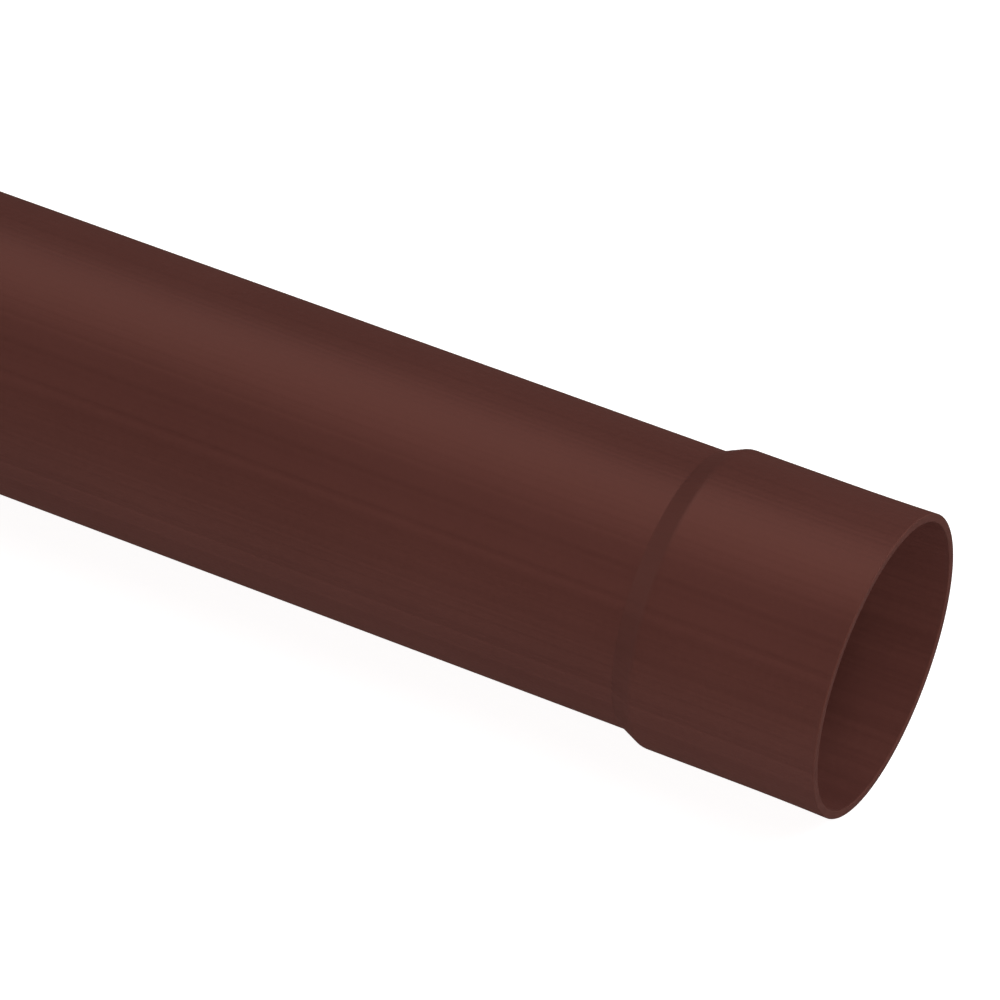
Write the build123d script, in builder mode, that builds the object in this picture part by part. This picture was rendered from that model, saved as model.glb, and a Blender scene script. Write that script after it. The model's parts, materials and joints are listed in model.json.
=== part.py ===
"""Round plastic rainwater downpipe: one extruded length with a socket formed on one end.

Millimetres, +Z up. The pipe lies along X with its socket mouth towards +X. The origin is on the
floor, under the middle of the length, and the widest ring, the mouth, touches the floor.
"""

import os

from build123d import *

# Driving dimensions
pipe_diameter = 80.0  # outside of the barrel
wall = 2.5  # the same thickness from end to end
laying_length = 1000.0  # what one length adds to a run: plain end to the stop inside the socket

# Socket, formed hot over a mandrel
joint_clearance = 0.4  # radial gap round the next pipe's plain end
shoulder_length = 6.5  # slope between barrel and socket, along the pipe
bend_radius = 1.5  # hollow side of the bends at both ends of the shoulder
seat_length = 27.5  # parallel part that holds the next pipe
lead_in_length = 27.5  # from the parallel part to the mouth
mouth_flare = 0.4  # how far the lead-in opens, on the radius

# Saw-cut ends
edge_break = 0.4  # small chamfer left by deburring

# Outside radii
pipe_radius = pipe_diameter / 2
seat_radius = pipe_radius + joint_clearance + wall
mouth_radius = seat_radius + mouth_flare
outer_bend_radius = bend_radius + wall

# Stations along the pipe
socket_depth = seat_length + lead_in_length
overall_length = laying_length + socket_depth
mouth_x = overall_length / 2
plain_end_x = mouth_x - overall_length
seat_start_x = mouth_x - socket_depth
shoulder_start_x = seat_start_x - shoulder_length
seat_end_x = seat_start_x + seat_length

# Centre line, one mouth radius above the floor
centre = (0, 0, mouth_radius)
pipe_axis = Axis(centre, (1, 0, 0))
section_plane = Plane(origin=centre, x_dir=(1, 0, 0), z_dir=(0, -1, 0))


def wall_line(depth, first_bend, second_bend):
    """Draw the line that lies `depth` below the outside of the wall, and return its two ends."""
    run = FilletPolyline(
        (plain_end_x, pipe_radius - depth),
        (shoulder_start_x, pipe_radius - depth),
        (seat_start_x, seat_radius - depth),
        (seat_end_x, seat_radius - depth),
        radius=[first_bend, second_bend],
    )
    lead_in = TangentArc(run @ 1, (mouth_x, mouth_radius - depth), tangent=run % 1)
    return run @ 0, lead_in @ 1


with BuildPart() as downpipe:
    with BuildSketch(section_plane) as wall_section:
        with BuildLine():
            outside_ends = wall_line(0, bend_radius, outer_bend_radius)
            inside_ends = wall_line(wall, outer_bend_radius, bend_radius)
            for outside_end, inside_end in zip(outside_ends, inside_ends):
                Line(outside_end, inside_end)
        make_face()
        corners = wall_section.vertices().group_by(Axis.X)
        chamfer(corners[0] + corners[-1], length=edge_break)
    revolve(axis=pipe_axis)

downpipe.part.label = "downpipe"

os.makedirs("parts", exist_ok=True)
export_step(downpipe.part, "parts/downpipe.step")
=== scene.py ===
"""Brown plastic rainwater downpipe, lying on a pale studio floor.

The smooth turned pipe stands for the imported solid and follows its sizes. Metres, +Z up, the same
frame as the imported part: the pipe lies along X with its socket's mouth towards +X.
"""

import json
import math

import bpy
import numpy as np
from mathutils import Matrix, Vector


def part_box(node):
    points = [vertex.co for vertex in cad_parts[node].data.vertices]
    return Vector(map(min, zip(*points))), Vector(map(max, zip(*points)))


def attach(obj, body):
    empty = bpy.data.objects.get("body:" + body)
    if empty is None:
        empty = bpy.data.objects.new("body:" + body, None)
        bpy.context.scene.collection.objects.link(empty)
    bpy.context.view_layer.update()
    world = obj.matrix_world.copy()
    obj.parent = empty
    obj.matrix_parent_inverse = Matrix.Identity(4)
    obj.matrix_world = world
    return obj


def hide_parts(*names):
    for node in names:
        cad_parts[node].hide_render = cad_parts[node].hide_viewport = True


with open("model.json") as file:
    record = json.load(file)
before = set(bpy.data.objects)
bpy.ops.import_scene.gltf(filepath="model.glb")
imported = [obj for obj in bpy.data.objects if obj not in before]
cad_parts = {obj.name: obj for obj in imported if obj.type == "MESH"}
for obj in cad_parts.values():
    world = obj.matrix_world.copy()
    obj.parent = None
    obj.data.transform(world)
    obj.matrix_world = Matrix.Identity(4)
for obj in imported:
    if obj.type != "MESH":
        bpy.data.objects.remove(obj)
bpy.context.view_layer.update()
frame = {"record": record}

MM = 0.001
WHITE = (1, 1, 1, 1)

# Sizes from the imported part
mounts = {mount["name"]: mount for mount in frame["record"]["mounts"]}
socket = mounts["socket"]
node_low, node_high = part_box("downpipe")
axis_height = socket["pos_m"][2]
pipe_radius = mounts["plain_end"]["dims"]["r_mm"] * MM
seat_bore = socket["dims"]["r_mm"] * MM
plain_end_x = node_low.x
mouth_x = node_high.x

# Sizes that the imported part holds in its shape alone
wall = 2.5 * MM
shoulder_length = 6.5 * MM
bend_radius = 1.5 * MM
seat_length = 27.5 * MM
lead_in_length = 27.5 * MM
mouth_flare = 0.4 * MM
edge_radius = 0.4 * MM

# Stations and outside radii worked out from them
seat_start_x = mouth_x - lead_in_length - seat_length
shoulder_start_x = seat_start_x - shoulder_length
seat_radius = seat_bore + wall
mouth_radius = seat_radius + mouth_flare
outer_bend_radius = bend_radius + wall

# The lead-in's slow bend, which ends short of the mouth's rounded edges
lead_in_run = lead_in_length / 2
lead_in_bend_x = mouth_x - lead_in_run
lead_in_turn = math.atan(mouth_flare / lead_in_run)
lead_in_radius = (lead_in_run - 2 * edge_radius) / math.tan(lead_in_turn / 2)

# Fineness of the turned mesh
ROUND_SEGMENTS = 256
ARC_STEP = math.radians(7)
LEAST_ARC_STEPS = 4

# Unrolled map: the outside gets the larger band, and short segments get more room than their length
OUTSIDE_BAND_SHARE = 0.68
INSIDE_BAND_SHARE = 0.30
LEAST_MAP_LENGTH = 4 * MM


def wall_corners():
    """Corners of the wall's section, clockwise from the plain end's outside edge."""
    return [
        (plain_end_x, pipe_radius, edge_radius),
        (shoulder_start_x, pipe_radius, bend_radius),
        (seat_start_x, seat_radius, outer_bend_radius),
        (lead_in_bend_x, seat_radius, lead_in_radius),
        (mouth_x, mouth_radius, edge_radius),
        (mouth_x, mouth_radius - wall, edge_radius),
        (lead_in_bend_x, seat_radius - wall, lead_in_radius),
        (seat_start_x, seat_radius - wall, bend_radius),
        (shoulder_start_x, pipe_radius - wall, outer_bend_radius),
        (plain_end_x, pipe_radius - wall, edge_radius),
    ]


def rounded_outline(corners):
    """Points and outward normals of a closed outline with tangent arcs at its (x, r, radius) corners.

    The corners run clockwise as seen with x to the right and r up, so the outside is on the left.
    """
    points, normals = [], []
    for i, (x, r, radius) in enumerate(corners):
        here = Vector((x, r))
        to_last = (Vector(corners[i - 1][:2]) - here).normalized()
        to_next = (Vector(corners[(i + 1) % len(corners)][:2]) - here).normalized()
        half = to_last.angle(to_next) / 2
        turn = math.pi - 2 * half
        middle = here + (to_last + to_next).normalized() * (radius / math.sin(half))
        first = here + to_last * (radius / math.tan(half)) - middle
        clockwise = (-to_last).cross(to_next) < 0
        steps = max(LEAST_ARC_STEPS, round(turn / ARC_STEP))
        for k in range(steps + 1):
            angle = turn * k / steps
            arm = Matrix.Rotation(-angle if clockwise else angle, 2) @ first
            points.append(middle + arm)
            normals.append(arm / radius if clockwise else -arm / radius)
    return np.array(points), np.array(normals)


def turned_points(along, out, lift):
    """Every outline point at every turn about the pipe's centre line, as x, y, z rows."""
    turns = np.arange(ROUND_SEGMENTS) * (2 * math.pi / ROUND_SEGMENTS)
    lengthwise = np.tile(along, (ROUND_SEGMENTS, 1))
    sideways = np.outer(np.sin(turns), out)
    upward = np.outer(np.cos(turns), out) + lift
    return np.stack([lengthwise, sideways, upward], 2).reshape(-1, 3)


def unrolled_runs(points):
    """Start and end of each outline segment, as shares of its half of the outline.

    One half is the outside with the mouth's cut, and the other the inside with the plain end's cut.
    """
    lengths = np.linalg.norm(np.roll(points, -1, 0) - points, axis=1)
    halves = np.maximum(lengths, LEAST_MAP_LENGTH).reshape(2, -1)
    ends = np.cumsum(halves, 1) / halves.sum(1, keepdims=True)
    starts = np.hstack([np.zeros((2, 1)), ends[:, :-1]])
    return starts.ravel(), ends.ravel()


def turned_pipe(name):
    """The pipe's wall turned into a closed mesh, with exact normals, sawn ends and an unrolled map."""
    points, normals = rounded_outline(wall_corners())
    count = len(points)
    after = (np.arange(count) + 1) % count
    run_starts, run_ends = unrolled_runs(points)
    band_low = np.repeat([0, 1 - INSIDE_BAND_SHARE], count // 2)
    band_height = np.repeat([OUTSIDE_BAND_SHARE, INSIDE_BAND_SHARE], count // 2)
    # The pipe's middle is at x = 0, so both sawn ends are as far out
    middles = (points[:, 0] + points[after, 0]) / 2
    sawn = np.abs(middles) > mouth_x - edge_radius
    faces, corner_map = [], []
    for j in range(ROUND_SEGMENTS):
        here = j * count
        beside = (j + 1) % ROUND_SEGMENTS * count
        low = band_low + band_height * j / ROUND_SEGMENTS
        high = band_low + band_height * (j + 1) / ROUND_SEGMENTS
        for i in range(count):
            faces.append((here + i, here + after[i], beside + after[i], beside + i))
            corner_map += [run_starts[i], low[i], run_ends[i], low[i]]
            corner_map += [run_ends[i], high[i], run_starts[i], high[i]]
    mesh = bpy.data.meshes.new(name)
    mesh.from_pydata(turned_points(*points.T, axis_height).tolist(), [], faces)
    mesh.shade_smooth()
    mesh.polygons.foreach_set("material_index", np.tile(sawn, ROUND_SEGMENTS).astype(np.int32))
    mesh.uv_layers.new(name="OFBake").uv.foreach_set("vector", np.array(corner_map, np.float32))
    mesh.normals_split_custom_set_from_vertices(turned_points(*normals.T, 0).tolist())
    return mesh


def new_material(name):
    """A new material, with its shader."""
    material = bpy.data.materials.new(name)
    material.use_nodes = True
    return material, material.node_tree.nodes["Principled BSDF"]


def add_node(tree, kind, inputs, **settings):
    """A new node's first output. Its inputs are values or the outputs of other nodes."""
    made = tree.nodes.new(kind)
    for key, value in settings.items():
        setattr(made, key, value)
    for key, value in inputs.items():
        if isinstance(value, bpy.types.NodeSocket):
            tree.links.new(value, made.inputs[key])
        else:
            made.inputs[key].default_value = value
    return made.outputs[0]


def object_place(tree):
    """The shaded point, in the object's own metres."""
    return tree.nodes.new("ShaderNodeTexCoord").outputs["Object"]


def barrel_place(tree):
    """The shaded point's place on the barrel's outside, straight outward from the centre line."""
    centre = {0: object_place(tree), 1: (0, 0, axis_height)}
    centred = add_node(tree, "ShaderNodeVectorMath", centre, operation="SUBTRACT")
    along = add_node(tree, "ShaderNodeVectorMath", {0: centred, 1: (1, 0, 0)}, operation="MULTIPLY")
    across = add_node(tree, "ShaderNodeVectorMath", {0: centred, 1: (0, 1, 1)}, operation="MULTIPLY")
    outward = add_node(tree, "ShaderNodeVectorMath", {0: across}, operation="NORMALIZE")
    reach = {0: outward, 1: (pipe_radius, pipe_radius, pipe_radius), 2: along}
    return add_node(tree, "ShaderNodeVectorMath", reach, operation="MULTIPLY_ADD")


def marks(tree, place, size, detail):
    """Noise whose marks are about that long along X, Y and Z."""
    scale = tuple(1 / length for length in size)
    stretched = add_node(tree, "ShaderNodeVectorMath", {0: place, 1: scale}, operation="MULTIPLY")
    return add_node(tree, "ShaderNodeTexNoise", {"Vector": stretched, "Scale": 1, "Detail": detail})


def swayed(tree, middle, noises, shares):
    """A level about the middle, swayed by each named noise times its share."""
    level = middle - sum(shares.values()) / 2
    for name, share in shares.items():
        sway = {0: noises[name], 1: share, 2: level}
        level = add_node(tree, "ShaderNodeMath", sway, operation="MULTIPLY_ADD")
    return level


def toned(tree, level, dark, light):
    """A colour between dark and light, by the level."""
    ramp = add_node(tree, "ShaderNodeValToRGB", {"Fac": level})
    stops = ramp.node.color_ramp.elements
    stops[0].color = dark
    stops[1].color = light
    return ramp


def past_bend(tree, along, bend_x):
    """0 before the bend at that place along the pipe, and 1 after it."""
    bend = {"Value": along, "From Min": bend_x - bend_radius / 2, "From Max": bend_x + bend_radius / 2}
    return add_node(tree, "ShaderNodeMapRange", bend, interpolation_type="SMOOTHSTEP")


# A finish sways about the middle, between its look's dark and its light
MIDDLE_SHARE = 0.5


def finish_plastic(tree, shader, noises, look):
    """Link a look's colour, roughness and relief to the shader, and set its even sheen."""
    shade = swayed(tree, MIDDLE_SHARE, noises, look["shade_shares"])
    tree.links.new(toned(tree, shade, look["dark"], look["light"]), shader.inputs["Base Color"])
    roughness = swayed(tree, look["roughness"], noises, look["roughness_shares"])
    tree.links.new(roughness, shader.inputs["Roughness"])
    height = swayed(tree, MIDDLE_SHARE, noises, look["relief_shares"])
    bump = add_node(tree, "ShaderNodeBump", {"Height": height, "Distance": look["relief"]})
    tree.links.new(bump, shader.inputs["Normal"])
    shader.inputs["Specular IOR Level"].default_value = look["sheen"]
    shader.inputs["Specular Tint"].default_value = look["sheen_tint"]


# Extruded plastic: size along X, Y and Z and fineness of each kind of mark
PIPE_MARKS = {
    "die_lines": ((2500 * MM, 1.2 * MM, 1.2 * MM), 2),
    "flow_bands": ((2500 * MM, 9 * MM, 9 * MM), 2),
    "clouds": ((60 * MM, 35 * MM, 35 * MM), 3),
    "grain": ((1.4 * MM, 1.1 * MM, 1.1 * MM), 2),
    "rings": ((2.2 * MM, 70 * MM, 70 * MM), 2),
}
PIPE_LOOK = {
    "dark": (0.0555, 0.0191, 0.0157, 1),
    "light": (0.0795, 0.0275, 0.0227, 1),
    "shade_shares": {
        "die_lines": 0.8,
        "flow_bands": 0.6,
        "clouds": 0.5,
        "grain": 0.4,
        # Painted light: these two shares pale the shoulder's band, to even out the shade the lights leave
        # there
        "widened": 0.35,
        "formed": -0.35,
    },
    "roughness": 0.47,
    "roughness_shares": {
        "die_lines": 0.2,
        "flow_bands": 0.15,
        "clouds": 0.1,
        "grain": 0.1,
        "formed": -0.04,
    },
    "relief": 0.08 * MM,
    "relief_shares": {"die_lines": 0.6, "flow_bands": 1, "grain": 0.2, "formed_rings": 0.5},
    "sheen": 0.5,
    "sheen_tint": (1, 0.36, 0.26, 1),
}

# Sawn ends: a duller cut of the same plastic, with fine saw lines across it
SAWN_MARKS = {
    "saw_lines": ((30 * MM, 25 * MM, 0.3 * MM), 3),
    "clouds": ((4 * MM, 4 * MM, 4 * MM), 2),
}
SAWN_LOOK = {
    "dark": (0.040, 0.0140, 0.0114, 1),
    "light": (0.067, 0.0235, 0.0194, 1),
    "shade_shares": {"saw_lines": 0.8, "clouds": 0.5},
    "roughness": 0.7,
    "roughness_shares": {"saw_lines": 0.1, "clouds": 0.1},
    "relief": 0.02 * MM,
    "relief_shares": {"saw_lines": 1},
    "sheen": 0.5,
    "sheen_tint": (1, 0.36, 0.26, 1),
}


def pipe_plastic():
    """Faint lines and bands along the pipe, soft clouds and fine grain.

    The shoulder is a little paler, as painted light that evens out the shade the lights leave on it, and
    the formed socket has faint rings.
    """
    material, shader = new_material("pipe_plastic")
    tree = material.node_tree
    place = barrel_place(tree)
    noises = {name: marks(tree, place, size, detail) for name, (size, detail) in PIPE_MARKS.items()}
    along = add_node(tree, "ShaderNodeSeparateXYZ", {0: place})
    # Mask for the painted light that pales the shoulder's band, from the shoulder's first bend on
    widened = past_bend(tree, along, shoulder_start_x)
    formed = past_bend(tree, along, seat_start_x)
    formed_rings = add_node(tree, "ShaderNodeMath", {0: noises["rings"], 1: formed}, operation="MULTIPLY")
    noises.update(widened=widened, formed=formed, formed_rings=formed_rings)
    finish_plastic(tree, shader, noises, PIPE_LOOK)
    return material


def sawn_plastic():
    """The cut faces at both ends."""
    material, shader = new_material("sawn_plastic")
    tree = material.node_tree
    place = object_place(tree)
    noises = {name: marks(tree, place, size, detail) for name, (size, detail) in SAWN_MARKS.items()}
    finish_plastic(tree, shader, noises, SAWN_LOOK)
    return material


pipe = bpy.data.objects.new("pipe_body", turned_pipe("pipe_body"))
bpy.context.scene.collection.objects.link(pipe)
pipe.data.materials.append(pipe_plastic())
pipe.data.materials.append(sawn_plastic())
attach(pipe, "root")
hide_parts("downpipe")

# Floor, a light table that touches both ends of the pipe and isn't mirrored in it
FLOOR_REACH = 30
FLOOR_COLOUR = (0.45, 0.45, 0.45, 1)
FLOOR_ROUGHNESS = 0.9
FLOOR_GLOW = 0.89
mouth_contact_x = mouth_x - edge_radius
plain_contact_x = plain_end_x + edge_radius
floor_slope = (mouth_radius - pipe_radius) / (mouth_contact_x - plain_contact_x)


def floor_corner(x, y):
    """A point of the floor, which rises slowly from the mouth to the plain end."""
    return x, y, axis_height - mouth_radius + floor_slope * (mouth_contact_x - x)


def floor_white():
    """Matt and pale, with an even glow of its own."""
    material, shader = new_material("floor_white")
    shader.inputs["Base Color"].default_value = FLOOR_COLOUR
    shader.inputs["Roughness"].default_value = FLOOR_ROUGHNESS
    shader.inputs["Specular IOR Level"].default_value = 0
    shader.inputs["Emission Color"].default_value = WHITE
    shader.inputs["Emission Strength"].default_value = FLOOR_GLOW
    return material


floor_mesh = bpy.data.meshes.new("floor")
floor_corners = [
    floor_corner(-FLOOR_REACH, -FLOOR_REACH),
    floor_corner(FLOOR_REACH, -FLOOR_REACH),
    floor_corner(FLOOR_REACH, FLOOR_REACH),
    floor_corner(-FLOOR_REACH, FLOOR_REACH),
]
floor_mesh.from_pydata(floor_corners, [], [(0, 1, 2, 3)])
floor_mesh.materials.append(floor_white())
floor = bpy.data.objects.new("floor", floor_mesh)
bpy.context.scene.collection.objects.link(floor)
floor.visible_glossy = False

# Room: dim warm light from all round, though the camera sees it as pale as the floor
ROOM_LIGHT = (0.075, 0.045, 0.036, 1)
ROOM_SEEN = (FLOOR_GLOW, FLOOR_GLOW, FLOOR_GLOW, 1)
room = bpy.data.worlds.new("room")
room.use_nodes = True
seen = room.node_tree.nodes.new("ShaderNodeLightPath").outputs["Is Camera Ray"]
background = room.node_tree.nodes["Background"].inputs["Color"]
room.node_tree.links.new(toned(room.node_tree, seen, ROOM_LIGHT, ROOM_SEEN), background)
bpy.context.scene.world = room


def direction(azimuth, elevation):
    """Unit vector towards a place seen from the pipe. Azimuth 0 is -Y, and 90 degrees is +X."""
    azimuth, elevation = math.radians(azimuth), math.radians(elevation)
    level = math.cos(elevation)
    return Vector((math.sin(azimuth) * level, -math.cos(azimuth) * level, math.sin(elevation)))


# Soft lights: direction in degrees, distance from the aim and size in metres, and brightness
LIGHT_AIM_SHARE = 0.76
light_aim = Vector((mouth_x * LIGHT_AIM_SHARE, 0, axis_height))
SOFTBOXES = {
    "front": dict(azimuth=85, elevation=55, distance=1.6, width=1.0, height=1.0, radiance=1.8),
    "fill": dict(azimuth=35, elevation=11, distance=3.6, width=2.4, height=1.2, radiance=8.5),
    "side": dict(azimuth=130, elevation=40, distance=1.6, width=1.0, height=1.0, radiance=6.4),
    "left": dict(azimuth=-75, elevation=18, distance=3.2, width=2.0, height=1.4, radiance=1.0),
    "overhead": dict(azimuth=-120, elevation=60, distance=1.4, width=1.2, height=1.2, radiance=1.45),
}


def softbox(name, azimuth, elevation, distance, width, height, radiance):
    """A soft light of that size, facing the aim."""
    light = bpy.data.lights.new(name, "AREA")
    light.shape = "RECTANGLE"
    light.size = width
    light.size_y = height
    light.energy = radiance * math.pi * width * height
    lamp = bpy.data.objects.new(name, light)
    way = direction(azimuth, elevation)
    lamp.location = light_aim + way * distance
    lamp.rotation_euler = way.to_track_quat("Z", "Y").to_euler()
    lamp.visible_camera = False
    bpy.context.scene.collection.objects.link(lamp)


for name, settings in SOFTBOXES.items():
    softbox(name, **settings)

# Camera, aimed beside the mouth's centre
CAMERA_AZIMUTH = 27.828
CAMERA_ELEVATION = 43.801
CAMERA_DISTANCE = 1.7561
CAMERA_LENS = 236.87
AIM_RIGHT = -0.10270
AIM_UP = 0.04455
mouth_centre = Vector((mouth_x, 0, axis_height))
back = direction(CAMERA_AZIMUTH, CAMERA_ELEVATION)
right = Vector((0, 0, 1)).cross(back).normalized()
up = back.cross(right)
camera_data = bpy.data.cameras.new("camera")
camera_data.lens = CAMERA_LENS
camera = bpy.data.objects.new("camera", camera_data)
bpy.context.scene.collection.objects.link(camera)
camera.location = mouth_centre + back * CAMERA_DISTANCE + right * AIM_RIGHT + up * AIM_UP
camera.rotation_euler = Matrix((right, up, back)).transposed().to_euler()
bpy.context.scene.camera = camera
bpy.context.scene.view_settings.view_transform = "Standard"
